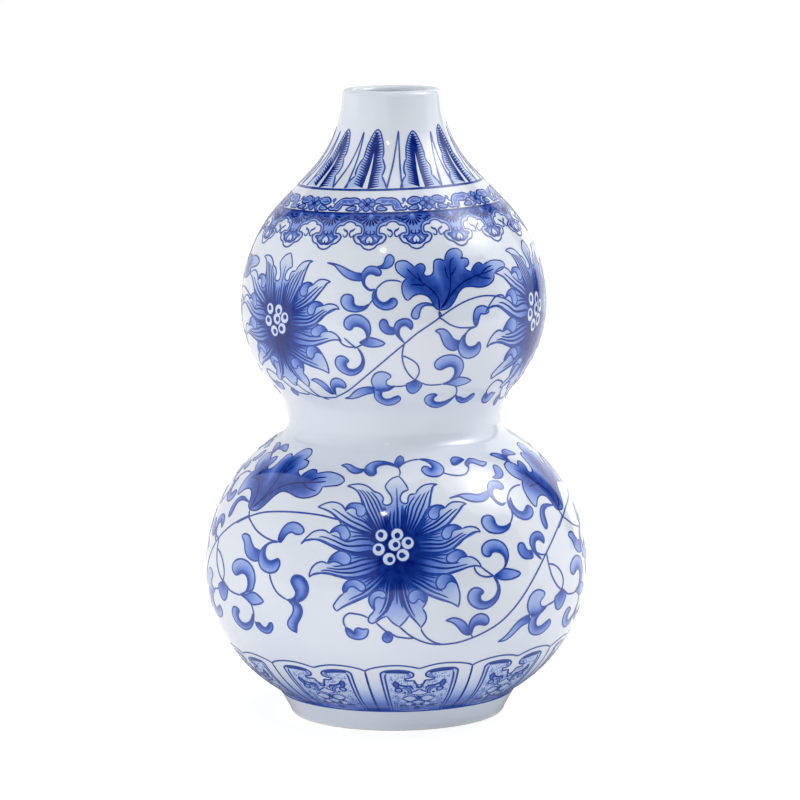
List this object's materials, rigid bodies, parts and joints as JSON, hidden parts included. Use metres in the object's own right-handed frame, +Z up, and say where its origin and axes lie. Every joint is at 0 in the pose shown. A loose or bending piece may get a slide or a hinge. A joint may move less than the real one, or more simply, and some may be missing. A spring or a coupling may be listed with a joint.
{
  "type": "vase",
  "caption": "Free-standing double-gourd porcelain flower vase: two round bulbs with a creased waist between them, a short neck with a round mouth, and a foot ring to stand on.",
  "frame": {"origin": "centre of the foot ring's standing rim, on the surface the vase stands on", "axes": "+Z up along the vase's axis, towards the mouth; -Y towards the viewer of the picture; +X to the right in the picture"},
  "size_m": [0.125, 0.125, 0.205],
  "materials": {
    "glazed_porcelain": "glossy clear glaze over white porcelain with underglaze blue painting",
    "bare_porcelain": "white porcelain, glazed on its sides and ground bare on the rim it stands on",
    "slip": "fired porcelain slip, wiped flush"
  },
  "bodies": {
    "root": {"foot_ring": "bare_porcelain", "foot_lute": "slip", "lower_bowl": "glazed_porcelain", "lower_belly_lute": "slip", "lower_dome": "glazed_porcelain", "waist_lute": "slip", "upper_bowl": "glazed_porcelain", "upper_belly_lute": "slip", "upper_dome": "glazed_porcelain", "neck_lute": "slip", "neck": "glazed_porcelain"}
  },
  "joints": []
}
